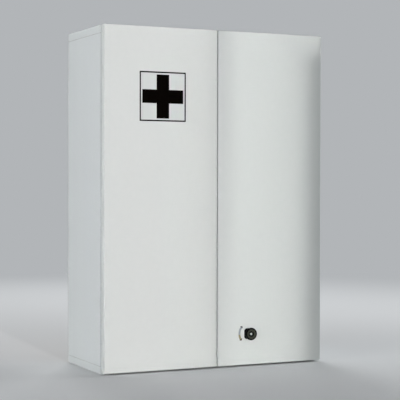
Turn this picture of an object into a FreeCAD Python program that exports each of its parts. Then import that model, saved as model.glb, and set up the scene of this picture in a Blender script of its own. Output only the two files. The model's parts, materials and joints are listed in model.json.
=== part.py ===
import FreeCAD, Part
import math
import os

V = FreeCAD.Vector

# Wall-hung medicine cabinet with two overlay doors, a turn lock and an inside bolt, in millimetres.
# X runs to the right as seen from the front, Y runs into the wall and Z is up.
# The origin is on the wall plane, in the middle of the four wall-screw holes.

# Carcass boards
cabinet_width = 500.0
cabinet_height = 700.0
carcass_depth = 191.0
board = 16.0
edge_round = 0.8

# Back panel, held in grooves just in front of the two rails
back_sheet = 3.0
groove_play = 0.2
groove_depth = 7.0
groove_end_play = 0.5
rail_board = 16.0
rail_height = 68.0

# Wall screws through the rails
wall_screw_spacing = 400.0
wall_screw_hole_radius = 3.0
back_panel_hole_radius = 3.5

# Panel joints: cams with their bolts and dowels
cam_radius = 7.4
cam_length = 12.2
cam_bore_play = 0.1
cam_recess_span = 8.0
cam_recess_width = 1.8
cam_recess_depth = 2.5
cam_end_distance = 24.0
cam_front_inset = 37.0
cam_rear_inset = 58.0
cam_pocket_radius = 3.9
cam_bolt_thread_radius = 2.5
cam_bolt_thread_length = 11.0
cam_bolt_collar_radius = 3.5
cam_bolt_neck_radius = 2.0
cam_bolt_head_radius = 3.4
cam_bolt_head_length = 5.0
cam_bolt_collar_gap = 1.5
cam_bolt_bore_radius = 4.0
dowel_radius = 4.0
dowel_face_depth = 10.0
dowel_end_depth = 20.0
dowel_from_cam = 32.0
dowel_hole_play = 0.03
dowel_chamfer = 0.6
rail_dowel_spacing = 36.0
blind_hole_spare = 0.5

# Shelves on pins
shelf_board = 16.0
shelf_side_play = 1.2
shelf_back_play = 1.0
shelf_setback = 20.0
pin_column_inset = 37.0
pin_column_spacing = 102.0
pin_row_pitch = 32.0
shelf_pin_radius = 2.45
shelf_pin_stem = 8.5
shelf_pin_support = 7.0
shelf_pin_collar_radius = 4.0
shelf_pin_collar = 0.8
shelf_pin_hole_play = 0.05

# Doors
door_board = 16.0
door_standoff = 3.0
door_split = 1.2
door_split_offset = 1.6
door_side_reveal = 0.5
door_top_reveal = 0.3
door_bottom_reveal = 3.0
door_edge_round = 1.5
bumper_radius = 4.0
bumper_round = 1.5
bumper_gap = 0.3
bumper_inset = 13.0

# Hinge: a cup in the door, a pin across it, and an arm that turns on the pin
hinge_end_distance = 100.0
hinge_pin_edge_distance = 6.8
hinge_pin_depth = 8.5
hinge_pin_radius = 1.2
hinge_pin_length = 14.8
hinge_running_fit = 0.05
hinge_pin_seat_play = 0.02
cup_edge_distance = 3.0
cup_radius = 17.4
cup_bore_play = 0.1
cup_depth = 12.0
cup_sheet = 0.5
cup_floor_round = 2.0
flange_radius = 19.0
flange_sheet = 1.2
flange_ear_radius = 5.0
cup_screw_spacing = 45.0
cup_screw_offset = 9.5
lug_radius = 2.6
lug_sheet = 3.0
arm_sheet = 1.6
arm_bend_radius = 3.0
arm_eye_radius = 2.3
arm_neck_width = 8.0
arm_side_play = 0.3
arm_channel_width = 15.2
arm_channel_start = 10.0
arm_taper_start = 2.0
arm_channel_end = 62.0
arm_corner_round = 4.0
arm_fold_round = 1.2
arm_slot_length = 6.0
plate_sheet = 2.0
plate_wing_width = 16.0
plate_wing_span = 42.0
plate_screw_inset = 37.0
plate_screw_spacing = 32.0
saddle_width = 11.0
saddle_rise = 7.5
saddle_round = 1.0
saddle_start = 14.0
saddle_end = 58.0
arm_to_wing_gap = 0.3
clamp_screw_inset = 48.0
adjusting_screw_inset = 22.0

# Turn lock on the right door
lock_x = 76.1
lock_above_bottom = 68.3
rosette_size = 22.4
rosette_corner_radius = 5.8
rosette_thickness = 2.5
rosette_round = 0.8
barrel_radius = 8.0
barrel_hole_play = 0.1
barrel_tail = 6.0
lock_nut_across_flats = 20.0
lock_nut_thickness = 4.0
lock_nut_bore_play = 0.05
knob_radius = 13.1
knob_waist_radius = 8.8
knob_waist_height = 2.4
knob_waist_round = 1.5
knob_height = 9.3
knob_rim_height = 3.2
knob_rim_round = 1.5
knob_rim_flat = 1.0
knob_dish_depth = 0.8
knob_recess_radius = 4.8
knob_recess_round = 0.6
knob_recess_depth = 3.2
knob_gap = 0.4
spindle_radius = 4.0
spindle_fit = 0.05
spindle_square = 5.5
spindle_square_play = 0.1
spindle_socket_depth = 4.0
spindle_stud_radius = 2.0
spindle_stud_length = 4.2
knob_screw_head_radius = 2.3
knob_screw_head = 1.4
knob_screw_shank_radius = 1.4
knob_screw_length = 9.0
cam_plate = 2.5
cam_plate_gap = 0.5
cam_hub_radius = 9.0
cam_reach = 40.0
cam_tip_radius = 7.0
cam_nut_across_flats = 7.0
cam_nut_thickness = 3.2

# Angle strikes on the bottom panel, one for the lock cam and one for the bolt
strike_sheet = 1.5
strike_bend_radius = 3.0
strike_corner_round = 4.0
strike_base_depth = 21.0
strike_gap = 0.5
lock_strike_width = 28.0
lock_strike_height = 28.0
lock_strike_screw_spacing = 16.0
bolt_strike_width = 18.0
bolt_strike_height = 12.0
bolt_strike_screw_spacing = 10.0
strike_screw_from_rear = 8.0

# Inside bolt on the left door
bolt_from_split = 41.6
bolt_rod_radius = 3.0
bolt_rod_end_round = 0.8
bolt_rod_fit = 0.06
bolt_axis_height = 8.0
bolt_travel = 10.0
bolt_strike_clearance = 2.0
bolt_rod_overhang = 2.0
bolt_plate_sheet = 1.2
bolt_plate_width = 24.0
bolt_plate_margin = 2.0
bolt_lug_length = 8.0
bolt_lug_half_width = 4.8
bolt_thumb_radius = 2.5
bolt_thumb_head_radius = 3.6
bolt_thumb_length = 10.0
bolt_thumb_head = 2.5
bolt_thumb_shank_radius = 1.5
bolt_thumb_socket_depth = 4.5
bolt_thumb_head_slope = 1.2
bolt_thumb_head_round = 0.9
bolt_stop_gap = 0.5
bolt_screw_from_edge = 3.5

# Wood screws
screw_shank_radius = 1.7
screw_head_radius = 3.4
screw_head_height = 1.8
screw_length = 12.0
small_screw_shank_radius = 1.3
small_screw_head_radius = 2.4
small_screw_head_height = 1.3
small_screw_length = 9.0
machine_screw_radius = 2.4
machine_screw_head_radius = 4.0
machine_screw_head_height = 2.2
pilot_play = 0.05

# A screw head's flat crown and straight rim, as shares of its radius and height
screw_crown_share = 0.6
screw_rim_share = 0.35

os.makedirs("parts", exist_ok=True)

# Places that follow from the sizes
half_width = cabinet_width / 2
half_height = cabinet_height / 2
inner_half_width = half_width - board
inner_half_height = half_height - board
carcass_front = -carcass_depth
door_back = carcass_front - door_standoff
door_front = door_back - door_board
sheet_rear = -rail_board - groove_play / 2
sheet_front = sheet_rear - back_sheet
rail_middle = inner_half_height - rail_height / 2
side_middle = inner_half_width + board / 2
floor_z = -inner_half_height


# Solids from plain descriptions
def block(x, y, z):
    return Part.makeBox(x[1] - x[0], y[1] - y[0], z[1] - z[0], V(x[0], y[0], z[0]))


def rod(radius, start, end):
    return Part.makeCylinder(radius, (end - start).Length, start, end - start)


# A flat face inside corners in one plane; a corner is a point, or a point and the radius that rounds it
def outlined(corners):
    corners = [corner if isinstance(corner, tuple) else (corner, 0) for corner in corners]
    bends = []
    for index, (point, radius) in enumerate(corners):
        back = (corners[index - 1][0] - point).normalize()
        ahead = (corners[(index + 1) % len(corners)][0] - point).normalize()
        half_angle = back.getAngle(ahead) / 2
        setback = radius / math.tan(half_angle)
        rise = radius / math.sin(half_angle) - radius
        crest = point + (back + ahead) * (rise / math.cos(half_angle) / 2)
        bends.append((point + back * setback, crest, point + ahead * setback))
    edges = []
    for index, (start, crest, end) in enumerate(bends):
        edges.append(Part.LineSegment(bends[index - 1][2], start))
        if corners[index][1]:
            edges.append(Part.Arc(start, crest, end))
    return Part.Face(Part.Wire([edge.toShape() for edge in edges]))


# A turned piece: the profile lists radius, height and any rounding, and the axis starts at base
def turned(profile, base, axis):
    corners = [(V(radius, 0, height), *(rounding or [0])) for radius, height, *rounding in profile]
    solid = outlined(corners).revolve(V(), V(0, 0, 1), 360)
    solid.Placement = FreeCAD.Placement(base, FreeCAD.Rotation(V(0, 0, 1), axis))
    return solid


def prism(corners, depth):
    return outlined(corners).extrude(depth)


def hexagon(across_flats, thickness, base):
    corner = across_flats / math.sqrt(3)
    turns = [math.radians(60 * index) for index in range(6)]
    points = [base + V(corner * math.cos(turn), 0, corner * math.sin(turn)) for turn in turns]
    return prism(points, V(0, thickness, 0))


def square_bar(size, y, centre):
    half = size / 2
    return block((centre.x - half, centre.x + half), y, (centre.z - half, centre.z + half))


def mirrored(solid):
    return solid.mirror(V(), V(1, 0, 0))


def flipped(solid):
    return solid.mirror(V(), V(0, 0, 1))


def moved(solid, offset):
    copy = solid.copy()
    copy.translate(offset)
    return copy


def rounded(solid, radius, chosen):
    return solid.makeFillet(radius, [edge for edge in solid.Edges if chosen(edge)])


def export(name, *solids):
    shape = solids[0] if len(solids) == 1 else Part.makeCompound(list(solids))
    shape.exportStep("parts/" + name + ".step")


# A domed-head screw whose head seats at base and whose shank runs along axis
def screw(base, axis, shank_radius, head_radius, head_height, length):
    point = shank_radius
    profile = [
        (0, -head_height),
        (head_radius * screw_crown_share, -head_height),
        (head_radius, -head_height * screw_rim_share),
        (head_radius, 0),
        (shank_radius, 0),
        (shank_radius, length - point),
        (0, length),
    ]
    return turned(profile, base, axis)


def wood_screw(base, axis):
    return screw(base, axis, screw_shank_radius, screw_head_radius, screw_head_height, screw_length)


def small_screw(base, axis):
    return screw(base, axis, small_screw_shank_radius, small_screw_head_radius,
                 small_screw_head_height, small_screw_length)


def wood_screw_hole(base, axis):
    return rod(screw_shank_radius + pilot_play, base, base + axis * (screw_length + blind_hole_spare))


def small_screw_hole(base, axis):
    end = base + axis * (small_screw_length + blind_hole_spare)
    return rod(small_screw_shank_radius + pilot_play, base, end)


# Corner joints, given for the left side at the top; the other corners are its mirror images
cam_places = [carcass_front + cam_front_inset, -cam_rear_inset]
dowel_places = [cam_places[0] + dowel_from_cam, cam_places[1] - dowel_from_cam]
cam_z = inner_half_height - cam_end_distance
cam_bolt_collar_end = cam_end_distance - cam_radius - cam_bolt_collar_gap
cam_bolt_head_start = cam_end_distance - cam_bolt_head_length / 2
cam_bolt_end = cam_bolt_head_start + cam_bolt_head_length


def panel_cam(y):
    face = V(-inner_half_width, y, cam_z)
    drum = rod(cam_radius, face, face - V(cam_length, 0, 0))
    pocket_end = cam_z - cam_bolt_head_length
    pocket = rod(cam_pocket_radius, V(-side_middle, y, pocket_end), V(-side_middle, y, inner_half_height))
    half_span = cam_recess_span / 2
    half_slot = cam_recess_width / 2
    recess_x = (-inner_half_width - cam_recess_depth, -inner_half_width)
    slots = [
        block(recess_x, (y - across, y + across), (cam_z - upright, cam_z + upright))
        for across, upright in ((half_span, half_slot), (half_slot, half_span))
    ]
    return drum.cut([pocket] + slots)


def panel_cam_bore(y):
    face = V(-inner_half_width, y, cam_z)
    bore = rod(cam_radius + cam_bore_play, face, face - V(cam_length + cam_bore_play, 0, 0))
    shaft = rod(cam_bolt_bore_radius, V(-side_middle, y, cam_z), V(-side_middle, y, inner_half_height))
    return [bore, shaft]


def panel_cam_bolt(y):
    profile = [
        (0, -cam_bolt_thread_length),
        (cam_bolt_thread_radius, -cam_bolt_thread_length),
        (cam_bolt_thread_radius, 0),
        (cam_bolt_collar_radius, 0),
        (cam_bolt_collar_radius, cam_bolt_collar_end),
        (cam_bolt_neck_radius, cam_bolt_collar_end),
        (cam_bolt_neck_radius, cam_bolt_head_start),
        (cam_bolt_head_radius, cam_bolt_head_start),
        (cam_bolt_head_radius, cam_bolt_end),
        (0, cam_bolt_end),
    ]
    return turned(profile, V(-side_middle, y, inner_half_height), V(0, 0, -1))


# A dowel that lies dowel_face_depth in a board's face and dowel_end_depth in the other board's end
def dowel(joint, into_end):
    profile = [
        (0, -dowel_face_depth),
        (dowel_radius - dowel_chamfer, -dowel_face_depth),
        (dowel_radius, dowel_chamfer - dowel_face_depth),
        (dowel_radius, dowel_end_depth - dowel_chamfer),
        (dowel_radius - dowel_chamfer, dowel_end_depth),
        (0, dowel_end_depth),
    ]
    return turned(profile, joint, into_end)


def dowel_hole(joint, direction, depth):
    return rod(dowel_radius + dowel_hole_play, joint, joint + direction * (depth + blind_hole_spare))


corner_dowel_joints = [V(-side_middle, y, inner_half_height) for y in dowel_places]
rail_dowel_joints = [
    V(-inner_half_width, -rail_board / 2, rail_middle + offset)
    for offset in (-rail_dowel_spacing / 2, rail_dowel_spacing / 2)
]
corner_dowels = [dowel(joint, V(0, 0, -1)) for joint in corner_dowel_joints]
rail_dowels = [dowel(joint, V(1, 0, 0)) for joint in rail_dowel_joints]


def four_corners(solids):
    left = solids + [flipped(solid) for solid in solids]
    return left + [mirrored(solid) for solid in left]


# Shelves divide the inside into three equal spaces
shelf_space = (2 * inner_half_height - 2 * shelf_board) / 3
shelf_bottoms = {
    "lower": floor_z + shelf_space,
    "upper": floor_z + 2 * shelf_space + shelf_board,
}
pin_columns = [carcass_front + pin_column_inset, carcass_front + pin_column_inset + pin_column_spacing]


def shelf_pin(y, z):
    profile = [
        (0, -shelf_pin_stem),
        (shelf_pin_radius, -shelf_pin_stem),
        (shelf_pin_radius, 0),
        (shelf_pin_collar_radius, 0),
        (shelf_pin_collar_radius, shelf_pin_collar),
        (shelf_pin_radius, shelf_pin_collar),
        (shelf_pin_radius, shelf_pin_support),
        (0, shelf_pin_support),
    ]
    return turned(profile, V(-inner_half_width, y, z), V(1, 0, 0))


# Hinge sizes in its own frame: the pin is at the origin, X runs from the door's outer edge
# towards its free edge, Y runs into the cabinet and Z is up
cup_x = cup_edge_distance + cup_radius + cup_bore_play - hinge_pin_edge_distance
back_y = hinge_pin_depth
front_y = hinge_pin_depth + door_standoff
side_x = board - door_side_reveal - hinge_pin_edge_distance
web_inner = side_x + saddle_rise
web_outer = web_inner + arm_sheet
cup_floor = back_y - cup_depth
cup_inner_radius = cup_radius - cup_sheet
lug_start = arm_neck_width / 2 + arm_side_play
ear_x = cup_x + cup_screw_offset
pin_x = -half_width + door_side_reveal + hinge_pin_edge_distance
pin_y = door_back - hinge_pin_depth
hinge_z = half_height - hinge_end_distance
hinge_levels = {"upper": hinge_z, "lower": -hinge_z}


def hinge_cup():
    outside = [
        (0, cup_floor),
        (cup_radius, cup_floor, cup_floor_round),
        (cup_radius, back_y),
    ]
    inside = [
        (cup_inner_radius, back_y),
        (cup_inner_radius, cup_floor + cup_sheet, cup_floor_round - cup_sheet),
        (0, cup_floor + cup_sheet),
    ]
    cup_body = turned(outside + [(0, back_y)], V(cup_x, 0, 0), V(0, 1, 0))
    shell = turned(outside + inside, V(cup_x, 0, 0), V(0, 1, 0))
    flange_step = V(0, flange_sheet, 0)
    flange = rod(flange_radius, V(cup_x, back_y, 0), V(cup_x, back_y, 0) + flange_step)
    ear_half = cup_screw_spacing / 2
    flange = flange.fuse(block((ear_x - flange_ear_radius, ear_x + flange_ear_radius),
                               (back_y, back_y + flange_sheet), (-ear_half, ear_half)))
    for z in (-ear_half, ear_half):
        ear = V(ear_x, back_y, z)
        flange = flange.fuse(rod(flange_ear_radius, ear, ear + flange_step))
    mouth = rod(cup_inner_radius, V(cup_x, back_y, 0), V(cup_x, back_y + flange_sheet, 0))
    beside_edge = block((-cup_radius, cup_x - cup_radius), (back_y, back_y + flange_sheet),
                        (-cup_screw_spacing, cup_screw_spacing))
    flange = flange.cut(mouth).cut(beside_edge)
    for z in (-ear_half, ear_half):
        ear = V(ear_x, back_y, z)
        flange = flange.cut(rod(screw_shank_radius + pilot_play, ear, ear + flange_step))
    cup = shell.fuse(flange)
    for side in (-1, 1):
        z = sorted((side * lug_start, side * (lug_start + lug_sheet)))
        lug = block((cup_x - cup_radius, lug_radius), (cup_floor, 0), z)
        lug = lug.fuse(rod(lug_radius, V(0, 0, z[0]), V(0, 0, z[1])))
        cup = cup.fuse(lug.common(cup_body))
    half_pin = hinge_pin_length / 2
    pin_hole = rod(hinge_pin_radius + hinge_pin_seat_play, V(0, 0, -half_pin), V(0, 0, half_pin))
    return cup.cut(pin_hole).removeSplitter()


def hinge_pin():
    half_pin = hinge_pin_length / 2
    return rod(hinge_pin_radius, V(0, 0, -half_pin), V(0, 0, half_pin))


# The bent strip runs from the eye across the cup and then into the cabinet
def hinge_arm():
    half_sheet = arm_sheet / 2
    half_neck = arm_neck_width / 2
    neck_end = front_y + arm_taper_start
    strip = prism(
        [
            V(0, -half_sheet, -half_neck),
            (V(web_outer, -half_sheet, -half_neck), arm_bend_radius),
            V(web_outer, neck_end, -half_neck),
            V(web_inner, neck_end, -half_neck),
            (V(web_inner, half_sheet, -half_neck), arm_bend_radius - arm_sheet),
            V(0, half_sheet, -half_neck),
        ],
        V(0, 0, arm_neck_width),
    )
    eye = rod(arm_eye_radius, V(0, 0, -half_neck), V(0, 0, half_neck))
    channel_start = front_y + arm_channel_start
    channel_end = front_y + arm_channel_end
    half_channel = arm_channel_width / 2
    flange_end = channel_end - arm_corner_round
    web = prism(
        [
            V(web_inner, neck_end, half_neck),
            V(web_inner, channel_start, half_channel),
            (V(web_inner, channel_end, half_channel), arm_corner_round),
            (V(web_inner, channel_end, -half_channel), arm_corner_round),
            V(web_inner, channel_start, -half_channel),
            V(web_inner, neck_end, -half_neck),
        ],
        V(arm_sheet, 0, 0),
    )
    arm = strip.fuse(eye).fuse(web)
    flange_foot = side_x + plate_sheet + arm_to_wing_gap

    def on_fold(edge):
        ends = [abs(end.X - web_outer) + abs(abs(end.Z) - half_channel) for end in edge.Vertexes]
        return max(ends) < 1e-6

    for z in ((-half_channel, arm_sheet - half_channel), (half_channel - arm_sheet, half_channel)):
        arm = arm.fuse(block((flange_foot, web_outer), (channel_start, flange_end), z))
    arm = rounded(arm.removeSplitter(), arm_fold_round, on_fold)
    pin_hole = rod(hinge_pin_radius + hinge_running_fit, V(0, 0, -half_neck), V(0, 0, half_neck))
    slot_radius = machine_screw_radius + hinge_running_fit
    slot_middle = front_y + clamp_screw_inset
    slot_ends = [slot_middle - arm_slot_length / 2, slot_middle + arm_slot_length / 2]
    cuts = [pin_hole, block((web_inner, web_outer), slot_ends, (-slot_radius, slot_radius))]
    cuts += [rod(slot_radius, V(web_inner, y, 0), V(web_outer, y, 0)) for y in slot_ends]
    cuts.append(rod(slot_radius, V(web_inner, front_y + adjusting_screw_inset, 0),
                    V(web_outer, front_y + adjusting_screw_inset, 0)))
    for cut in cuts:
        arm = arm.cut(cut)
    return arm.removeSplitter()


def hinge_plate():
    half_saddle = saddle_width / 2
    saddle_y = (front_y + saddle_start, front_y + saddle_end)
    saddle = block((side_x, web_inner), saddle_y, (-half_saddle, half_saddle))
    saddle = rounded(saddle, saddle_round, lambda edge: min(end.X for end in edge.Vertexes) > side_x)
    wing_y = front_y + plate_screw_inset
    half_wing = plate_wing_width / 2
    wing_tip = plate_wing_span / 2 - half_wing
    plate = saddle.fuse(block((side_x, side_x + plate_sheet), (wing_y - half_wing, wing_y + half_wing),
                              (-wing_tip, wing_tip)))
    for z in (-wing_tip, wing_tip):
        plate = plate.fuse(rod(half_wing, V(side_x, wing_y, z), V(side_x + plate_sheet, wing_y, z)))
    for z in (-plate_screw_spacing / 2, plate_screw_spacing / 2):
        seat = V(side_x, wing_y, z)
        plate = plate.cut(rod(screw_shank_radius + pilot_play, seat, seat + V(plate_sheet, 0, 0)))
    for inset in (clamp_screw_inset, adjusting_screw_inset):
        hole = rod(machine_screw_radius + hinge_running_fit, V(side_x + plate_sheet, front_y + inset, 0),
                   V(web_inner, front_y + inset, 0))
        plate = plate.cut(hole)
    return plate.removeSplitter()


machine_screw_length = arm_sheet + saddle_rise - plate_sheet - blind_hole_spare
plate_screw_places = [
    V(side_x + plate_sheet, front_y + plate_screw_inset, z)
    for z in (-plate_screw_spacing / 2, plate_screw_spacing / 2)
]
cup_screw_places = [
    V(ear_x, back_y + flange_sheet, z)
    for z in (-cup_screw_spacing / 2, cup_screw_spacing / 2)
]
into_side = V(-1, 0, 0)
into_door = V(0, -1, 0)


def clamp_screw():
    return screw(V(web_outer, front_y + clamp_screw_inset, 0), into_side, machine_screw_radius,
                 machine_screw_head_radius, machine_screw_head_height, machine_screw_length)


# A headless screw that stands in the arm's web and bears in the saddle
def adjusting_screw():
    start = V(web_outer, front_y + adjusting_screw_inset, 0)
    return rod(machine_screw_radius, start, start + into_side * machine_screw_length)


# A hinge piece of the left side, repeated at both levels
def at_levels(solid):
    return [moved(solid, V(pin_x, pin_y, z)) for z in hinge_levels.values()]


def both_sides(solids):
    return solids + [mirrored(solid) for solid in solids]


# Carcass panels
def off_rear(edge):
    return min(vertex.Y for vertex in edge.Vertexes) < -edge_round


def front_or_outer(edge):
    at_front = max(vertex.Y for vertex in edge.Vertexes) < carcass_front + edge_round
    at_outside = max(vertex.X for vertex in edge.Vertexes) < edge_round - half_width
    return at_front or (at_outside and off_rear(edge))


groove = (-rail_board - back_sheet - groove_play, -rail_board)
bolt_x = door_split_offset - bolt_from_split
lock_strike_y = door_back + barrel_tail + cam_plate_gap - strike_gap - strike_sheet
bolt_strike_y = door_back + bolt_axis_height - bolt_rod_radius - strike_gap - strike_sheet
strikes = {
    "lock": (lock_x, lock_strike_y, lock_strike_width, lock_strike_height, lock_strike_screw_spacing),
    "bolt": (bolt_x, bolt_strike_y, bolt_strike_width, bolt_strike_height, bolt_strike_screw_spacing),
}


def strike_screw_places(name):
    x, y, width, height, spacing = strikes[name]
    screw_y = y + strike_base_depth - strike_screw_from_rear
    return [V(x + offset, screw_y, floor_z + strike_sheet) for offset in (-spacing / 2, spacing / 2)]


def end_panel():
    panel = block((-half_width, half_width), (carcass_front, 0), (inner_half_height, half_height))
    panel = rounded(panel, edge_round, off_rear)
    holes = [block((-inner_half_width - groove_depth, inner_half_width + groove_depth), groove,
                   (inner_half_height, inner_half_height + groove_depth))]
    for y in cam_places:
        bore = rod(cam_bolt_thread_radius + pilot_play, V(-side_middle, y, inner_half_height),
                   V(-side_middle, y, inner_half_height + cam_bolt_thread_length + blind_hole_spare))
        holes += [bore, mirrored(bore)]
    for joint in corner_dowel_joints:
        hole = dowel_hole(joint, V(0, 0, 1), dowel_face_depth)
        holes += [hole, mirrored(hole)]
    return panel.cut(holes)


def bottom_panel():
    holes = []
    for name in strikes:
        holes += [small_screw_hole(place, V(0, 0, -1)) for place in strike_screw_places(name)]
    return flipped(end_panel()).cut(holes)


def side_panel():
    panel_x = (-half_width, -inner_half_width)
    panel = block(panel_x, (carcass_front, 0), (-inner_half_height, inner_half_height))
    panel = rounded(panel, edge_round, front_or_outer)
    upper_holes = []
    for y in cam_places:
        upper_holes += panel_cam_bore(y)
    upper_holes += [dowel_hole(joint, V(0, 0, -1), dowel_end_depth) for joint in corner_dowel_joints]
    upper_holes += [dowel_hole(joint, V(-1, 0, 0), dowel_face_depth) for joint in rail_dowel_joints]
    holes = upper_holes + [flipped(hole) for hole in upper_holes]
    holes.append(block((-inner_half_width - groove_depth, -inner_half_width), groove,
                       (-inner_half_height, inner_half_height)))
    for bottom in shelf_bottoms.values():
        for row in (-1, 0, 1):
            z = bottom - shelf_pin_radius + row * pin_row_pitch
            for y in pin_columns:
                face = V(-inner_half_width, y, z)
                holes.append(rod(shelf_pin_radius + shelf_pin_hole_play, face,
                                 face - V(shelf_pin_stem + blind_hole_spare, 0, 0)))
    for z in hinge_levels.values():
        holes += [wood_screw_hole(place + V(pin_x, pin_y, z), into_side) for place in plate_screw_places]
    return panel.cut(holes)


def rail():
    bar = block((-inner_half_width, inner_half_width), (-rail_board, 0),
                (inner_half_height - rail_height, inner_half_height))
    holes = [dowel_hole(joint, V(1, 0, 0), dowel_end_depth) for joint in rail_dowel_joints]
    holes += [mirrored(hole) for hole in holes]
    for x in (-wall_screw_spacing / 2, wall_screw_spacing / 2):
        holes.append(rod(wall_screw_hole_radius, V(x, -rail_board, rail_middle), V(x, 0, rail_middle)))
    return bar.cut(holes)


def back_panel():
    reach = groove_depth - groove_end_play
    sheet = block((-inner_half_width - reach, inner_half_width + reach), (sheet_front, sheet_rear),
                  (-inner_half_height - reach, inner_half_height + reach))
    holes = []
    for x in (-wall_screw_spacing / 2, wall_screw_spacing / 2):
        for z in (-rail_middle, rail_middle):
            holes.append(rod(back_panel_hole_radius, V(x, sheet_front, z), V(x, sheet_rear, z)))
    return sheet.cut(holes)


def shelf(bottom):
    half_shelf = inner_half_width - shelf_side_play
    shelf_y = (carcass_front + shelf_setback, sheet_front - shelf_back_play)
    slab = block((-half_shelf, half_shelf), shelf_y, (bottom, bottom + shelf_board))
    front = carcass_front + shelf_setback + edge_round
    return rounded(slab, edge_round, lambda edge: max(vertex.Y for vertex in edge.Vertexes) < front)


export("top_panel", end_panel())
export("bottom_panel", bottom_panel())
export("left_side_panel", side_panel())
export("right_side_panel", mirrored(side_panel()))
export("back_panel", back_panel())
export("hanging_rail", rail())
export("lower_rail", flipped(rail()))
for level, bottom in shelf_bottoms.items():
    pins = [shelf_pin(y, bottom - shelf_pin_radius) for y in pin_columns]
    export(level + "_shelf", shelf(bottom))
    export(level + "_shelf_pins", *both_sides(pins))
export("panel_cams", *four_corners([panel_cam(y) for y in cam_places]))
export("panel_cam_bolts", *four_corners([panel_cam_bolt(y) for y in cam_places]))
export("wooden_dowels", *four_corners(corner_dowels + rail_dowels))

# Hinges
hinge_pieces = {"cup": hinge_cup(), "pin": hinge_pin(), "arm": hinge_arm(), "plate": hinge_plate()}
for piece, solid in hinge_pieces.items():
    for level, left in zip(hinge_levels, at_levels(solid)):
        export(level + "_left_hinge_" + piece, left)
        export(level + "_right_hinge_" + piece, mirrored(left))

left_cup_screws = []
left_plate_screws = []
for place in cup_screw_places:
    left_cup_screws += at_levels(wood_screw(place, into_door))
for place in plate_screw_places:
    left_plate_screws += at_levels(wood_screw(place, into_side))
export("left_cup_screws", *left_cup_screws)
export("right_cup_screws", *[mirrored(solid) for solid in left_cup_screws])
export("hinge_plate_screws", *both_sides(left_plate_screws))
export("hinge_clamp_screws", *both_sides(at_levels(clamp_screw())))
export("hinge_adjusting_screws", *both_sides(at_levels(adjusting_screw())))


# Doors
door_top = half_height - door_top_reveal
door_bottom = door_bottom_reveal - half_height
bumper_heights = [inner_half_height + board / 2, -inner_half_height - bumper_radius - edge_round]


# The two doors meet a little to the right of the cabinet's middle
def left_leaf(meeting):
    leaf_x = (-half_width + door_side_reveal, meeting - door_split / 2)
    leaf = block(leaf_x, (door_front, door_back), (door_bottom, door_top))
    leaf = rounded(leaf, door_edge_round, lambda edge: True)
    holes = []
    for z in hinge_levels.values():
        pin = V(pin_x, pin_y, z)
        cup_axis = pin + V(cup_x, 0, 0)
        holes.append(rod(cup_radius + cup_bore_play, cup_axis + V(0, cup_floor - cup_bore_play, 0),
                         cup_axis + V(0, back_y, 0)))
        holes += [wood_screw_hole(pin + place, into_door) for place in cup_screw_places]
    return leaf.cut(holes)


def bumpers(meeting):
    height = door_standoff - bumper_gap
    profile = [(0, 0), (bumper_radius, 0), (bumper_radius, height, bumper_round), (0, height)]
    x = meeting - door_split / 2 - bumper_inset
    return [turned(profile, V(x, door_back, z), V(0, 1, 0)) for z in bumper_heights]


# Inside bolt: a plate with two lugs guides the rod, and the rod drops behind its strike
bolt_y = door_back + bolt_axis_height
plate_face = door_back + bolt_plate_sheet
rod_bottom = floor_z + bolt_strike_height + bolt_strike_clearance
guide_bottom = rod_bottom + bolt_rod_overhang
lower_lug = (guide_bottom + bolt_plate_margin, guide_bottom + bolt_plate_margin + bolt_lug_length)
thumb_room = bolt_travel + 2 * bolt_thumb_radius + 2 * bolt_stop_gap
upper_lug = (lower_lug[1] + thumb_room, lower_lug[1] + thumb_room + bolt_lug_length)
guide_top = upper_lug[1] + bolt_plate_margin
rod_top = guide_top + bolt_rod_overhang
thumb_z = upper_lug[0] - bolt_stop_gap - bolt_thumb_radius
bolt_screw_x = bolt_plate_width / 2 - bolt_screw_from_edge
bolt_screw_places = [
    V(bolt_x + offset, plate_face, z)
    for offset in (-bolt_screw_x, bolt_screw_x)
    for z in (guide_bottom + bolt_screw_from_edge, guide_top - bolt_screw_from_edge)
]


def bolt_guide():
    plate_x = (bolt_x - bolt_plate_width / 2, bolt_x + bolt_plate_width / 2)
    guide = block(plate_x, (door_back, plate_face), (guide_bottom, guide_top))
    guide = rounded(guide, bolt_plate_margin, lambda edge: abs(edge.tangentAt(edge.FirstParameter).y) > 0.5)
    for z in (lower_lug, upper_lug):
        lug = block((bolt_x - bolt_lug_half_width, bolt_x + bolt_lug_half_width), (plate_face, bolt_y), z)
        lug = lug.fuse(rod(bolt_lug_half_width, V(bolt_x, bolt_y, z[0]), V(bolt_x, bolt_y, z[1])))
        lug = lug.cut(rod(bolt_rod_radius + bolt_rod_fit, V(bolt_x, bolt_y, z[0]), V(bolt_x, bolt_y, z[1])))
        guide = guide.fuse(lug)
    for place in bolt_screw_places:
        hole_end = place + into_door * bolt_plate_sheet
        guide = guide.cut(rod(small_screw_shank_radius + pilot_play, place, hole_end))
    return guide.removeSplitter()


def bolt_rod():
    bar = rod(bolt_rod_radius, V(bolt_x, bolt_y, rod_bottom), V(bolt_x, bolt_y, rod_top))
    bar = rounded(bar, bolt_rod_end_round, lambda edge: len(edge.Vertexes) == 1)
    mouth = V(bolt_x, bolt_y + bolt_rod_radius, thumb_z)
    socket = rod(bolt_thumb_shank_radius + pilot_play, mouth, mouth - V(0, bolt_thumb_socket_depth, 0))
    return bar.cut(socket)


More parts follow.
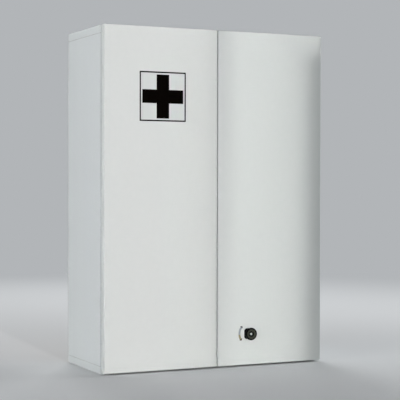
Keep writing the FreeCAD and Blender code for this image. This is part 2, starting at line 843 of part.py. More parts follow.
def bolt_thumb_pin():
    seat = bolt_rod_radius + pilot_play
    foot = bolt_rod_radius - bolt_thumb_socket_depth + pilot_play
    neck_end = seat + bolt_thumb_length - bolt_thumb_head
    profile = [
        (0, foot),
        (bolt_thumb_shank_radius, foot),
        (bolt_thumb_shank_radius, seat),
        (bolt_thumb_radius, seat),
        (bolt_thumb_radius, neck_end),
        (bolt_thumb_head_radius, neck_end + bolt_thumb_head_slope),
        (bolt_thumb_head_radius, seat + bolt_thumb_length, bolt_thumb_head_round),
        (0, seat + bolt_thumb_length),
    ]
    return turned(profile, V(bolt_x, bolt_y, thumb_z), V(0, 1, 0))


def angle_strike(name):
    x, y, width, height, spacing = strikes[name]
    left = x - width / 2
    angle = prism(
        [
            (V(left, y, floor_z), strike_bend_radius),
            V(left, y, floor_z + height),
            V(left, y + strike_sheet, floor_z + height),
            (V(left, y + strike_sheet, floor_z + strike_sheet), strike_bend_radius - strike_sheet),
            V(left, y + strike_base_depth, floor_z + strike_sheet),
            V(left, y + strike_base_depth, floor_z),
        ],
        V(width, 0, 0),
    )
    angle = rounded(angle, strike_corner_round, lambda edge: abs(edge.Length - strike_sheet) < 1e-6)
    for place in strike_screw_places(name):
        angle = angle.cut(rod(small_screw_shank_radius + pilot_play, place, place - V(0, 0, strike_sheet)))
    return angle


# Turn lock: rosette and barrel are one casting, and the spindle turns in it with the knob and the cam
lock_z = lock_above_bottom - half_height
lock_axis = V(lock_x, 0, lock_z)
inward = V(0, 1, 0)


def on_lock(y):
    return lock_axis + V(0, y, 0)


rosette_face = door_front - rosette_thickness
barrel_end = door_back + barrel_tail
knob_base = rosette_face - knob_gap
knob_face = knob_base - knob_height
cam_face = barrel_end + cam_plate_gap
cam_rear = cam_face + cam_plate
knob_recess_floor = knob_face + knob_recess_depth


def lock_barrel():
    half = rosette_size / 2
    corners = [V(-half, 0, -half), V(half, 0, -half), V(half, 0, half), V(-half, 0, half)]
    outline = [(on_lock(door_front) + corner, rosette_corner_radius) for corner in corners]
    rosette = prism(outline, V(0, -rosette_thickness, 0))
    rosette = rounded(rosette, rosette_round, lambda edge: max(end.Y for end in edge.Vertexes) < door_front)
    casting = rosette.fuse(rod(barrel_radius, on_lock(door_front), on_lock(barrel_end)))
    return casting.cut(rod(spindle_radius + spindle_fit, on_lock(rosette_face), on_lock(barrel_end)))


def lock_nut():
    nut = hexagon(lock_nut_across_flats, lock_nut_thickness, on_lock(door_back))
    bore_end = on_lock(door_back + lock_nut_thickness)
    return nut.cut(rod(barrel_radius + lock_nut_bore_play, on_lock(door_back), bore_end))


def lock_knob():
    rim_back = knob_face + knob_rim_height
    waist_end = knob_base - knob_waist_height
    profile = [
        (0, knob_recess_floor),
        (knob_recess_radius, knob_recess_floor),
        (knob_recess_radius, knob_face + knob_dish_depth, knob_recess_round),
        (knob_radius - knob_rim_round - knob_rim_flat, knob_face),
        (knob_radius, knob_face, knob_rim_round),
        (knob_radius, rim_back, knob_rim_round),
        (knob_waist_radius, waist_end, knob_waist_round),
        (knob_waist_radius, knob_base),
        (0, knob_base),
    ]
    knob = turned(profile, lock_axis, inward)
    socket_y = (knob_base - spindle_socket_depth, knob_base)
    socket = square_bar(spindle_square + spindle_square_play, socket_y, lock_axis)
    shank = rod(knob_screw_shank_radius + pilot_play, on_lock(knob_face), on_lock(knob_base))
    return knob.cut(socket).cut(shank)


def knob_screw():
    seat = on_lock(knob_recess_floor)
    return screw(seat, inward, knob_screw_shank_radius, knob_screw_head_radius, knob_screw_head,
                 knob_screw_length)


def lock_spindle():
    shaft = rod(spindle_radius, on_lock(knob_base), on_lock(cam_face))
    front = square_bar(spindle_square, (knob_base - spindle_socket_depth + pilot_play, knob_base), lock_axis)
    rear = square_bar(spindle_square, (cam_face, cam_rear), lock_axis)
    stud = rod(spindle_stud_radius, on_lock(cam_rear), on_lock(cam_rear + spindle_stud_length))
    screw_end = knob_recess_floor + knob_screw_length + blind_hole_spare
    tapped_from = on_lock(knob_base - spindle_socket_depth)
    tapped = rod(knob_screw_shank_radius + pilot_play, tapped_from, on_lock(screw_end))
    return shaft.fuse(front).fuse(rear).fuse(stud).cut(tapped).removeSplitter()


# The cam points towards the door split while the lock is open
def lock_cam():
    tip = lock_axis - V(cam_reach - cam_tip_radius, 0, 0)
    hub = rod(cam_hub_radius, on_lock(cam_face), on_lock(cam_rear))
    end = rod(cam_tip_radius, tip + V(0, cam_face, 0), tip + V(0, cam_rear, 0))
    bar = block((tip.x, lock_x), (cam_face, cam_rear), (lock_z - cam_tip_radius, lock_z + cam_tip_radius))
    hole = square_bar(spindle_square + spindle_square_play, (cam_face, cam_rear), lock_axis)
    return hub.fuse(bar).fuse(end).cut(hole).removeSplitter()


def lock_cam_nut():
    nut = hexagon(cam_nut_across_flats, cam_nut_thickness, on_lock(cam_rear))
    bore_end = on_lock(cam_rear + cam_nut_thickness)
    return nut.cut(rod(spindle_stud_radius + pilot_play, on_lock(cam_rear), bore_end))


bolt_screw_holes = [small_screw_hole(place, into_door) for place in bolt_screw_places]
left_door = left_leaf(door_split_offset).cut(bolt_screw_holes)
barrel_hole = rod(barrel_radius + barrel_hole_play, on_lock(door_front), on_lock(door_back))
export("left_door_panel", left_door)
export("right_door_panel", mirrored(left_leaf(-door_split_offset)).cut(barrel_hole))
export("left_door_bumpers", *bumpers(door_split_offset))
export("right_door_bumpers", *[mirrored(solid) for solid in bumpers(-door_split_offset)])

export("bolt_guide", bolt_guide())
export("bolt_guide_screws", *[small_screw(place, into_door) for place in bolt_screw_places])
export("bolt_rod", bolt_rod())
export("bolt_thumb_pin", bolt_thumb_pin())
for name in strikes:
    export(name + "_strike", angle_strike(name))
    export(name + "_strike_screws", *[small_screw(place, V(0, 0, -1)) for place in strike_screw_places(name)])

export("lock_barrel", lock_barrel())
export("lock_nut", lock_nut())
export("lock_knob", lock_knob())
export("knob_screw", knob_screw())
export("lock_spindle", lock_spindle())
export("lock_cam", lock_cam())
export("lock_cam_nut", lock_cam_nut())
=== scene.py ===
import json
import math

import bmesh
import bpy
from mathutils import Matrix, Quaternion, Vector


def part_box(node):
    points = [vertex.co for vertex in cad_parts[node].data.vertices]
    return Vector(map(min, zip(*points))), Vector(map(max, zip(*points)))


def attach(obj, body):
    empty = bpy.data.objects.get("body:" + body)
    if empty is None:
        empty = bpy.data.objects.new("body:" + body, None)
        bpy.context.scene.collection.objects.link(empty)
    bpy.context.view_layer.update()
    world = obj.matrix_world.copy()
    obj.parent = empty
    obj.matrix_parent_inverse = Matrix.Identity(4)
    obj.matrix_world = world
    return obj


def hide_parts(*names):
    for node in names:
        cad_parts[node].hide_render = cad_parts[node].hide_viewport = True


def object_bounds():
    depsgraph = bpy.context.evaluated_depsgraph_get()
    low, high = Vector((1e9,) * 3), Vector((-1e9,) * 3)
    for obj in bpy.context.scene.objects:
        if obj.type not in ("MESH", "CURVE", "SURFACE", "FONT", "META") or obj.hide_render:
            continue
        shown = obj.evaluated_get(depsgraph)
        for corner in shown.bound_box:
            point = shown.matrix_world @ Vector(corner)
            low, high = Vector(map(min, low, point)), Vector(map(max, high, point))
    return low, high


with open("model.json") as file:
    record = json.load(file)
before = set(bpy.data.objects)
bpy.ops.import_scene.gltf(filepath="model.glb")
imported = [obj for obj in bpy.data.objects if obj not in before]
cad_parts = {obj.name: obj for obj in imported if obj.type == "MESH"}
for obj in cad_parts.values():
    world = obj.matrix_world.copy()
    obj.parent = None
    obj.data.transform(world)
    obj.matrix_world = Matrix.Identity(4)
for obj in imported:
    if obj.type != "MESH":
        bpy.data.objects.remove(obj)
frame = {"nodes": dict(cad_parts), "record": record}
cadBox = [list(corner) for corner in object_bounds()]
nodes = frame["nodes"]
mm = 0.001


# colours are written as sRGB hex and turned to linear here
def linear(hexText):
    shades = [int(hexText[i:i + 2], 16) / 255 for i in (1, 3, 5)]
    return tuple(s / 12.92 if s <= 0.04045 else ((s + 0.055) / 1.055) ** 2.4 for s in shades) + (1.0,)


# adds a node; a socket is named or numbered, and takes a value or another node's output
def put(tree, kind, sockets=None, **settings):
    node = tree.nodes.new(kind)
    for key, value in settings.items():
        setattr(node, key, value)
    for key, value in (sockets or {}).items():
        if isinstance(value, bpy.types.NodeSocket):
            tree.links.new(value, node.inputs[key])
        else:
            node.inputs[key].default_value = value
    return node


def newFinish(name):
    finish = bpy.data.materials.new(name)
    finish.use_nodes = True
    finish.node_tree.nodes.clear()
    return finish, finish.node_tree


def newPiece(name, mesh):
    piece = bpy.data.objects.new(name, mesh)
    bpy.context.scene.collection.objects.link(piece)
    return piece


def meshFrom(bm, name):
    bmesh.ops.recalc_face_normals(bm, faces=bm.faces)
    mesh = bpy.data.meshes.new(name)
    bm.to_mesh(mesh)
    bm.free()
    return mesh


def wear(piece, finish):
    piece.data.materials.clear()
    piece.data.materials.append(finish)


# camera and stage

photoCamera = {
    "focalPx": 1267.0,  # fitted on the cabinet's corners in a 400 px frame
    "framePx": 400,
    "sensorMm": 36.0,
    "yawDeg": 25.51,
    "pitchDeg": -0.81,
    "rollDeg": 0.11,
    "place": (-1.1611, -2.5626, 0.0359),
}


def makeCamera(spec):
    data = bpy.data.cameras.new("photoCamera")
    data.sensor_width = spec["sensorMm"]
    data.lens = spec["focalPx"] / spec["framePx"] * spec["sensorMm"]
    camera = bpy.data.objects.new("photoCamera", data)
    bpy.context.scene.collection.objects.link(camera)
    yaw, pitch, roll = (math.radians(spec[key]) for key in ("yawDeg", "pitchDeg", "rollDeg"))
    ahead = Vector((math.sin(yaw) * math.cos(pitch), math.cos(yaw) * math.cos(pitch), math.sin(pitch)))
    right = Vector((math.cos(yaw), -math.sin(yaw), 0))
    up = right.cross(ahead)
    rolledRight = math.cos(roll) * right + math.sin(roll) * up
    rolledUp = math.cos(roll) * up - math.sin(roll) * right
    turn = Matrix((rolledRight, rolledUp, -ahead)).transposed().to_4x4()
    camera.matrix_world = Matrix.Translation(spec["place"]) @ turn
    bpy.context.scene.camera = camera


stage = {
    "backdrop": "#b2b5b8",
    "floor": "#e0e2e3",
    "floorDrop": 0.5 * mm,
    "floorRadius": 14.0,
    "floorSegments": 96,
    "fadeStart": 0.7,
    "fadeEnd": 2.6,
    "ambient": "#eef2f8",
    "ambientLevel": 0.174,
}

doorThrow = (-0.561, -2.641, 0.26)  # from a spot on the doors back to the softbox that lights it
lamps = {
    "leftDoorPanel": {"aim": (-0.0516, -0.2, 0), "size": (0.1338, 0.87), "watts": 0.1925,
                      "colour": "#fffafa", "spreadDeg": 3.2},
    # from nearly straight ahead, so that the gap behind the door stays dark
    "leftDoorEdge": {"aim": (-0.26, -0.2, 0), "size": (0.28, 0.87), "watts": 0.388, "colour": "#fffafa",
                     "spreadDeg": 3.2, "place": (-0.4, -2.896, 0.26)},
    "leftSide": {"aim": (-0.25, -0.168, 0.04), "size": (0.384, 0.98), "watts": 0.12, "colour": "#f6fff8",
                 "spreadDeg": 6, "place": (-2.95, -0.168, 0.3)},
    "rightDoorPanel": {"aim": (0.123, -0.2, 0), "size": (0.183, 0.81), "watts": 0.1965, "colour": "#fefcfb",
                       "spreadDeg": 1.9, "rollDeg": -0.5},
    "rightDoorStrip": {"aim": (0.09, -0.2, 0), "size": (0.118, 0.81), "watts": 0.0335, "colour": "#fefcfb",
                       "spreadDeg": 1.9, "rollDeg": -0.5},
    "rightDoorCorner": {"aim": (0.255, -0.222, 0.356), "size": (0.09, 0.085), "watts": 0.007,
                        "colour": "#fefcfb", "spreadDeg": 1.0},
    "leftPanel": {"aim": (-0.2, -0.1, 0), "size": (1.6, 1.6), "watts": 32, "colour": "#ffffff",
                  "place": (-2.6, -1.1, 0.5), "mirrored": True},
    "rightPanel": {"aim": (0.2, -0.1, 0), "size": (1.6, 1.6), "watts": 45, "colour": "#fdfeff",
                   "place": (2.8, -0.2, 0.5)},
    "rearPanel": {"aim": (0, 0, 0), "size": (1.8, 1.2), "watts": 64, "colour": "#ffffff",
                  "place": (0.8, 3.0, 1.6)},
}


# the camera, mirrors and clear pieces see the pale backdrop, everything else gets the soft ambient light
def makeWorld(spec):
    world = bpy.data.worlds.new("studio")
    bpy.context.scene.world = world
    world.use_nodes = True
    tree = world.node_tree
    tree.nodes.clear()
    path = put(tree, "ShaderNodeLightPath")
    seen = put(tree, "ShaderNodeMath", {0: path.outputs["Is Camera Ray"], 1: path.outputs["Is Glossy Ray"]},
               operation="MAXIMUM")
    seen = put(tree, "ShaderNodeMath", {0: seen.outputs[0], 1: path.outputs["Is Transmission Ray"]},
               operation="MAXIMUM")
    ambient = put(tree, "ShaderNodeBackground",
                  {"Color": linear(spec["ambient"]), "Strength": spec["ambientLevel"]})
    backdrop = put(tree, "ShaderNodeBackground", {"Color": linear(spec["backdrop"]), "Strength": 1.0})
    mixed = put(tree, "ShaderNodeMixShader",
                {0: seen.outputs[0], 1: ambient.outputs[0], 2: backdrop.outputs[0]})
    put(tree, "ShaderNodeOutputWorld", {"Surface": mixed.outputs[0]})


# the floor keeps the shadow near the cabinet and fades into the backdrop further out
def makeFloor(spec):
    bm = bmesh.new()
    bmesh.ops.create_circle(bm, cap_ends=True, segments=spec["floorSegments"], radius=spec["floorRadius"])
    mesh = meshFrom(bm, "studioFloor")
    low = cadBox[0][2] - spec["floorDrop"]
    mesh.transform(Matrix.Translation((0, 0, low)))
    floor = newPiece("studioFloor", mesh)
    finish, tree = newFinish("matt studio floor")
    spot = put(tree, "ShaderNodeTexCoord")
    flat = put(tree, "ShaderNodeVectorMath", {0: spot.outputs["Object"], 1: (1, 1, 0)},
               operation="MULTIPLY")
    reach = put(tree, "ShaderNodeVectorMath", {0: flat.outputs[0]}, operation="LENGTH")
    fade = put(tree, "ShaderNodeMapRange",
               {"Value": reach.outputs["Value"], "From Min": spec["fadeStart"],
                "From Max": spec["fadeEnd"]},
               interpolation_type="SMOOTHSTEP")
    near = put(tree, "ShaderNodeBsdfDiffuse", {"Color": linear(spec["floor"])})
    far = put(tree, "ShaderNodeEmission", {"Color": linear(spec["backdrop"]), "Strength": 1.0})
    mixed = put(tree, "ShaderNodeMixShader", {0: fade.outputs[0], 1: near.outputs[0], 2: far.outputs[0]})
    put(tree, "ShaderNodeOutputMaterial", {"Surface": mixed.outputs[0]})
    wear(floor, finish)


# a lamp without a place of its own stands back from its aim by the throw
def makeLamps(specs, throw):
    for name, spec in specs.items():
        data = bpy.data.lights.new(name, "AREA")
        data.shape = "RECTANGLE"
        data.size, data.size_y = spec["size"]
        data.spread = math.radians(spec.get("spreadDeg", 180))  # a narrow spread is a softbox behind a grid
        data.energy = spec["watts"]
        data.color = linear(spec["colour"])[:3]
        lamp = bpy.data.objects.new(name, data)
        bpy.context.scene.collection.objects.link(lamp)
        lamp.visible_glossy = spec.get("mirrored", False)  # most would glint on edges and clip on the top
        aim = Vector(spec["aim"])
        lamp.location = spec.get("place", aim + Vector(throw))
        lamp.rotation_mode = "QUATERNION"
        turn = Quaternion((0, 0, 1), math.radians(spec.get("rollDeg", 0)))
        lamp.rotation_quaternion = (aim - lamp.location).to_track_quat("-Z", "Y") @ turn


bpy.context.scene.view_settings.view_transform = "Standard"
makeCamera(photoCamera)
makeWorld(stage)
makeFloor(stage)
makeLamps(lamps, doorThrow)
print("camera, floor and lamps set")


# finishes

doorLacquer = {
    "colour": "#dfe2df",
    "shade": "#d9ddda",
    "mottleMm": 14.0,  # faint unevenness of the sprayed coat
    "peelMm": 5.0,  # orange peel, drawn about twice as coarse as sprayed lacquer so that it shows
    "peelHeightMm": 0.006,
    "roughness": 0.3,
    "ior": 1.5,
}


# sprayed satin-gloss lacquer on board: an even white with soft wide reflections and a faint orange peel
def lacquerFinish(spec):
    finish, tree = newFinish("satin white lacquer")
    spot = put(tree, "ShaderNodeTexCoord")
    mottle = put(tree, "ShaderNodeTexNoise",
                 {"Vector": spot.outputs["Object"], "Scale": 1 / (spec["mottleMm"] * mm), "Detail": 6.0,
                  "Roughness": 0.7})
    colour = put(tree, "ShaderNodeMix",
                 {0: mottle.outputs[0], 6: linear(spec["shade"]), 7: linear(spec["colour"])},
                 data_type="RGBA")
    peel = put(tree, "ShaderNodeTexNoise",
               {"Vector": spot.outputs["Object"], "Scale": 1 / (spec["peelMm"] * mm), "Detail": 1.0})
    bump = put(tree, "ShaderNodeBump",
               {"Height": peel.outputs[0], "Distance": spec["peelHeightMm"] * mm, "Strength": 1.0})
    shader = put(tree, "ShaderNodeBsdfPrincipled",
                 {"Base Color": colour.outputs[2], "Normal": bump.outputs[0],
                  "Roughness": spec["roughness"], "IOR": spec["ior"]})
    put(tree, "ShaderNodeOutputMaterial", {"Surface": shader.outputs[0]})
    return finish


melamine = {
    "colour": "#dbdfdf",
    "shade": "#d7dbdb",
    "mottleMm": 9.0,
    "grainMm": 2.4,  # pearl embossing, drawn about three times as coarse as on the sheet so that it shows
    "grainHeightMm": 0.012,
    "roughness": 0.42,
    "ior": 1.5,
    "rawDepthMm": 0.25,
    "rawRoughness": 0.85,
    "rawLight": "#c9ad86",
    "rawDark": "#8d6d49",
    "chipMm": 2.2,
    "jointLineAndShade": "#6f695e",  # the sawn edges of the facing where two boards meet, darkened further as painted shade in the groove
    "jointHalfMm": 0.24,
    "jointDepthMm": 1.1,  # as deep as the rounding of the boards' outer edges
}


# melamine-faced chipboard: a cool white with a fine pearl grain; a carcass panel also shows
# bare pressed chips on its rear edge and a fine dark joint line on the cabinet's sides, partly sawn edge
# and partly painted shade
def melamineFinish(name, spec, isCarcass):
    finish, tree = newFinish(name)
    spot = put(tree, "ShaderNodeTexCoord")
    place = spot.outputs["Object"]
    mottle = put(tree, "ShaderNodeTexNoise",
                 {"Vector": place, "Scale": 1 / (spec["mottleMm"] * mm), "Detail": 5.0, "Roughness": 0.7})
    white = put(tree, "ShaderNodeMix",
                {0: mottle.outputs[0], 6: linear(spec["shade"]), 7: linear(spec["colour"])},
                data_type="RGBA")
    grain = put(tree, "ShaderNodeTexNoise",
                {"Vector": place, "Scale": 1 / (spec["grainMm"] * mm), "Detail": 2.0})
    bump = put(tree, "ShaderNodeBump",
               {"Height": grain.outputs[0], "Distance": spec["grainHeightMm"] * mm, "Strength": 1.0})
    shader = put(tree, "ShaderNodeBsdfPrincipled",
                 {"Base Color": white.outputs[2], "Normal": bump.outputs[0],
                  "Roughness": spec["roughness"], "IOR": spec["ior"]})
    put(tree, "ShaderNodeOutputMaterial", {"Surface": shader.outputs[0]})
    if not isCarcass:
        return finish
    low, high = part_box("left_side_panel")
    axes = put(tree, "ShaderNodeSeparateXYZ", {0: place})
    sideways = put(tree, "ShaderNodeMath", {0: axes.outputs["X"]}, operation="ABSOLUTE")
    upright = put(tree, "ShaderNodeMath", {0: axes.outputs["Z"]}, operation="ABSOLUTE")
    onSide = put(tree, "ShaderNodeMath", {0: sideways.outputs[0], 1: -low.x - spec["jointDepthMm"] * mm},
                 operation="GREATER_THAN")
    atJoint = put(tree, "ShaderNodeMath", {0: upright.outputs[0], 1: high.z, 2: spec["jointHalfMm"] * mm},
                  operation="COMPARE")
    # painted shade: a thin dark band at the joints on the sides, where the groove between the boards would
    # be in shade
    jointShadeMask = put(tree, "ShaderNodeMath", {0: onSide.outputs[0], 1: atJoint.outputs[0]}, operation="MULTIPLY")
    jointShaded = put(tree, "ShaderNodeMix",
                {0: jointShadeMask.outputs[0], 6: white.outputs[2], 7: linear(spec["jointLineAndShade"])}, data_type="RGBA")
    chips = put(tree, "ShaderNodeTexVoronoi",
                {"Vector": place, "Scale": 1 / (spec["chipMm"] * mm), "Randomness": 1.0})
    chipShade = put(tree, "ShaderNodeSeparateColor", {0: chips.outputs["Color"]})
    raw = put(tree, "ShaderNodeMix",
              {0: chipShade.outputs[0], 6: linear(spec["rawDark"]), 7: linear(spec["rawLight"])},
              data_type="RGBA")
    atRear = put(tree, "ShaderNodeMath", {0: axes.outputs["Y"], 1: -spec["rawDepthMm"] * mm},
                 operation="GREATER_THAN")
    colour = put(tree, "ShaderNodeMix", {0: atRear.outputs[0], 6: jointShaded.outputs[2], 7: raw.outputs[2]},
                 data_type="RGBA")
    gloss = put(tree, "ShaderNodeMapRange",
                {"Value": atRear.outputs[0], "To Min": spec["roughness"],
                 "To Max": spec["rawRoughness"]})
    tree.links.new(colour.outputs[2], shader.inputs["Base Color"])
    tree.links.new(gloss.outputs[0], shader.inputs["Roughness"])
    return finish


hardboard = {
    "white": "#d8dcdd",
    "brownLight": "#9a7a58",
    "brownDark": "#6f5338",
    "fibreMm": 1.6,
    "fibreHeightMm": 0.05,
    "fibreRoughness": 0.8,
    "blotchMm": 111.1,  # darker and lighter patches of the pressed pulp
    "toneLift": 0.2,
    "paintRoughness": 0.5,
    "paintDepthMm": 0.2,
    "screenMm": 2.5,  # print of the press's wire screen, drawn about twice as coarse so that it shows
    "screenHeightMm": 0.12,
}


# a wave texture's scale for a pitch in mm: one wave takes pi / 10 at scale 1
def wavesPerMetre(pitchMm):
    return math.pi / 10 / (pitchMm * mm)


# thin hardboard: a painted white face towards the shelves, brown pressed fibres with a mesh print behind
def hardboardFinish(spec):
    finish, tree = newFinish("painted hardboard")
    low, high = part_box("back_panel")
    spot = put(tree, "ShaderNodeTexCoord")
    place = spot.outputs["Object"]
    fibre = put(tree, "ShaderNodeTexNoise",
                {"Vector": place, "Scale": 1 / (spec["fibreMm"] * mm), "Detail": 4.0, "Roughness": 0.7})
    blotch = put(tree, "ShaderNodeTexNoise",
                 {"Vector": place, "Scale": 1 / (spec["blotchMm"] * mm), "Detail": 3.0})
    tone = put(tree, "ShaderNodeMath", {0: fibre.outputs[0], 1: blotch.outputs[0], 2: spec["toneLift"]},
               operation="MULTIPLY_ADD")
    brown = put(tree, "ShaderNodeMix",
                {0: tone.outputs[0], 6: linear(spec["brownDark"]), 7: linear(spec["brownLight"])},
                data_type="RGBA")
    axes = put(tree, "ShaderNodeSeparateXYZ", {0: place})
    behind = put(tree, "ShaderNodeMath", {0: axes.outputs["Y"], 1: low.y + spec["paintDepthMm"] * mm},
                 operation="GREATER_THAN")
    colour = put(tree, "ShaderNodeMix",
                 {0: behind.outputs[0], 6: linear(spec["white"]), 7: brown.outputs[2]}, data_type="RGBA")
    gloss = put(tree, "ShaderNodeMapRange",
                {"Value": behind.outputs[0], "To Min": spec["paintRoughness"],
                 "To Max": spec["fibreRoughness"]})
    fibreBump = put(tree, "ShaderNodeBump",
                    {"Height": fibre.outputs[0], "Distance": spec["fibreHeightMm"] * mm,
                     "Strength": behind.outputs[0]})
    wires = [put(tree, "ShaderNodeTexWave", {"Vector": place, "Scale": wavesPerMetre(spec["screenMm"])},
                 bands_direction=way) for way in ("X", "Z")]
    screen = put(tree, "ShaderNodeMath", {0: wires[0].outputs[1], 1: wires[1].outputs[1]},
                 operation="MULTIPLY")
    bump = put(tree, "ShaderNodeBump",
               {"Height": screen.outputs[0], "Distance": spec["screenHeightMm"] * mm,
                "Strength": behind.outputs[0], "Normal": fibreBump.outputs[0]})
    shader = put(tree, "ShaderNodeBsdfPrincipled",
                 {"Base Color": colour.outputs[2], "Roughness": gloss.outputs[0],
                  "Normal": bump.outputs[0]})
    put(tree, "ShaderNodeOutputMaterial", {"Surface": shader.outputs[0]})
    return finish


metalMottle = {"noiseLow": 0.3, "noiseHigh": 0.7, "glossSwing": 0.2}
metals = {
    # name: light, dark, roughness, mottle size in mm, mottle height in mm, metallic
    "nickel-plated steel": ("#d9d6ce", "#c8c4bb", 0.28, 6.0, 0.003, 1.0),  # pressed sheet, warm plating
    "nickel-plated zinc casting": ("#c4c3c0", "#afaeab", 0.38, 2.2, 0.012, 1.0),  # duller, with a cast skin
    "zinc-plated screw": ("#d0d3d5", "#bcc0c3", 0.3, 1.6, 0.004, 1.0),  # bluish passivated plating
    "polished steel with painted highlight": ("#f2f3f3", "#e9eaeb", 0.3, 3.0, 0.001, 0.5),  # buffed; half of it is diffuse near-white, a painted highlight that keeps the head bright
}


# plated metal: sharp reflections broken by faint mottling in tone and gloss
def metalFinish(name):
    light, dark, roughness, mottleMm, heightMm, metallic = metals[name]
    finish, tree = newFinish(name)
    spot = put(tree, "ShaderNodeTexCoord")
    mottle = put(tree, "ShaderNodeTexNoise",
                 {"Vector": spot.outputs["Object"], "Scale": 1 / (mottleMm * mm), "Detail": 3.0})
    colour = put(tree, "ShaderNodeMix", {0: mottle.outputs[0], 6: linear(dark), 7: linear(light)},
                 data_type="RGBA")
    swing = metalMottle["glossSwing"]
    gloss = put(tree, "ShaderNodeMapRange",
                {"Value": mottle.outputs[0], "From Min": metalMottle["noiseLow"],
                 "From Max": metalMottle["noiseHigh"], "To Min": roughness * (1 - swing),
                 "To Max": roughness * (1 + swing)})
    bump = put(tree, "ShaderNodeBump",
               {"Height": mottle.outputs[0], "Distance": heightMm * mm, "Strength": 1.0})
    shader = put(tree, "ShaderNodeBsdfPrincipled",
                 {"Base Color": colour.outputs[2], "Roughness": gloss.outputs[0], "Normal": bump.outputs[0],
                  "Metallic": metallic})
    put(tree, "ShaderNodeOutputMaterial", {"Surface": shader.outputs[0]})
    return finish


lockPlastic = {
    "colour": "#070707",
    "shade": "#040404",
    "grainMm": 0.7,  # spark-eroded mould grain, drawn coarse enough to show
    "grainHeightMm": 0.012,
    "grainStrength": 0.6,
    "roughness": 0.35,
    "ior": 1.53,
    "shine": 0.04,
    # the face's grey is a painted sheen of front light; the plastic itself is the same black
    "faceSheenColour": "#484940",
    "faceSheenShade": "#3c3d35",
    "faceRoughness": 0.6,
    "faceInnerMm": 5.8,
    "faceOuterMm": 10.4,
    "faceDeepMm": 1.3,
    "faceEdgeMm": 0.3,
}


# moulded ABS: polished black with a fine mould grain; the knob's dished face is eroded to satin,
# and its dark grey colour is a painted sheen of front light on the same black plastic
def plasticFinish(name, spec, isKnob):
    finish, tree = newFinish(name)
    spot = put(tree, "ShaderNodeTexCoord")
    place = spot.outputs["Object"]
    grain = put(tree, "ShaderNodeTexNoise",
                {"Vector": place, "Scale": 1 / (spec["grainMm"] * mm), "Detail": 2.0})
    black = put(tree, "ShaderNodeMix",
                {0: grain.outputs[0], 6: linear(spec["shade"]), 7: linear(spec["colour"])},
                data_type="RGBA")
    bump = put(tree, "ShaderNodeBump",
               {"Height": grain.outputs[0], "Distance": spec["grainHeightMm"] * mm,
                "Strength": spec["grainStrength"]})
    shader = put(tree, "ShaderNodeBsdfPrincipled",
                 {"Base Color": black.outputs[2], "Normal": bump.outputs[0], "Roughness": spec["roughness"],
                  "IOR": spec["ior"], "Specular IOR Level": spec["shine"]})
    put(tree, "ShaderNodeOutputMaterial", {"Surface": shader.outputs[0]})
    if not isKnob:
        return finish
    low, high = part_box("lock_knob")
    middle = (low + high) / 2
    fromAxis = put(tree, "ShaderNodeVectorMath", {0: place, 1: middle}, operation="SUBTRACT")
    across = put(tree, "ShaderNodeVectorMath", {0: fromAxis.outputs[0], 1: (1, 0, 1)}, operation="MULTIPLY")
    reach = put(tree, "ShaderNodeVectorMath", {0: across.outputs[0]}, operation="LENGTH")
    edge = spec["faceEdgeMm"] * mm
    inside = put(tree, "ShaderNodeMapRange",
                 {"Value": reach.outputs["Value"], "From Min": spec["faceInnerMm"] * mm,
                  "From Max": spec["faceInnerMm"] * mm + edge})
    outside = put(tree, "ShaderNodeMapRange",
                  {"Value": reach.outputs["Value"], "From Min": spec["faceOuterMm"] * mm,
                   "From Max": spec["faceOuterMm"] * mm - edge})
    axes = put(tree, "ShaderNodeSeparateXYZ", {0: place})
    front = put(tree, "ShaderNodeMath", {0: axes.outputs["Y"], 1: low.y + spec["faceDeepMm"] * mm},
                operation="LESS_THAN")
    ring = put(tree, "ShaderNodeMath", {0: inside.outputs[0], 1: outside.outputs[0]}, operation="MULTIPLY")
    face = put(tree, "ShaderNodeMath", {0: ring.outputs[0], 1: front.outputs[0]}, operation="MULTIPLY")
    # painted sheen: the dished face is coloured grey where front light would catch the satin
    paintedFaceSheen = put(tree, "ShaderNodeMix",
               {0: grain.outputs[0], 6: linear(spec["faceSheenShade"]), 7: linear(spec["faceSheenColour"])},
               data_type="RGBA")
    colour = put(tree, "ShaderNodeMix", {0: face.outputs[0], 6: black.outputs[2], 7: paintedFaceSheen.outputs[2]},
                 data_type="RGBA")
    gloss = put(tree, "ShaderNodeMapRange",
                {"Value": face.outputs[0], "To Min": spec["roughness"], "To Max": spec["faceRoughness"]})
    tree.links.new(colour.outputs[2], shader.inputs["Base Color"])
    tree.links.new(gloss.outputs[0], shader.inputs["Roughness"])
    return finish


beech = {"light": "#d9b98c", "dark": "#b98f60", "grainMm": 0.44, "roughness": 0.6}


# turned beech: fine straight grain with darker flecks
def beechFinish(spec):
    finish, tree = newFinish("beech dowel wood")
    spot = put(tree, "ShaderNodeTexCoord")
    grain = put(tree, "ShaderNodeTexWave",
                {"Vector": spot.outputs["Object"], "Scale": wavesPerMetre(spec["grainMm"]),
                 "Distortion": 6.0, "Detail": 3.0})
    colour = put(tree, "ShaderNodeMix",
                 {0: grain.outputs[0], 6: linear(spec["dark"]), 7: linear(spec["light"])}, data_type="RGBA")
    shader = put(tree, "ShaderNodeBsdfPrincipled",
                 {"Base Color": colour.outputs[2], "Roughness": spec["roughness"]})
    put(tree, "ShaderNodeOutputMaterial", {"Surface": shader.outputs[0]})
    return finish


screenPrint = {"mottleMm": 3.0, "shine": 0.02}
inks = {
    # name: colour, shade, roughness
    "black sign vinyl": ("#050302", "#080604", 0.75),  # matt film, printed solid
    "white sign vinyl": ("#d9dddb", "#d5d9d7", 0.42),  # calendered film, a little greyer than the door
    "pale blue-grey print": ("#a1a9ac", "#9aa2a5", 0.5),
    "dark blue-grey print": ("#464a4a", "#3e4242", 0.5),
    "ochre print": ("#9b9575", "#938d6e", 0.5),
    "dark ochre print": ("#423a1c", "#3a3318", 0.5),
}


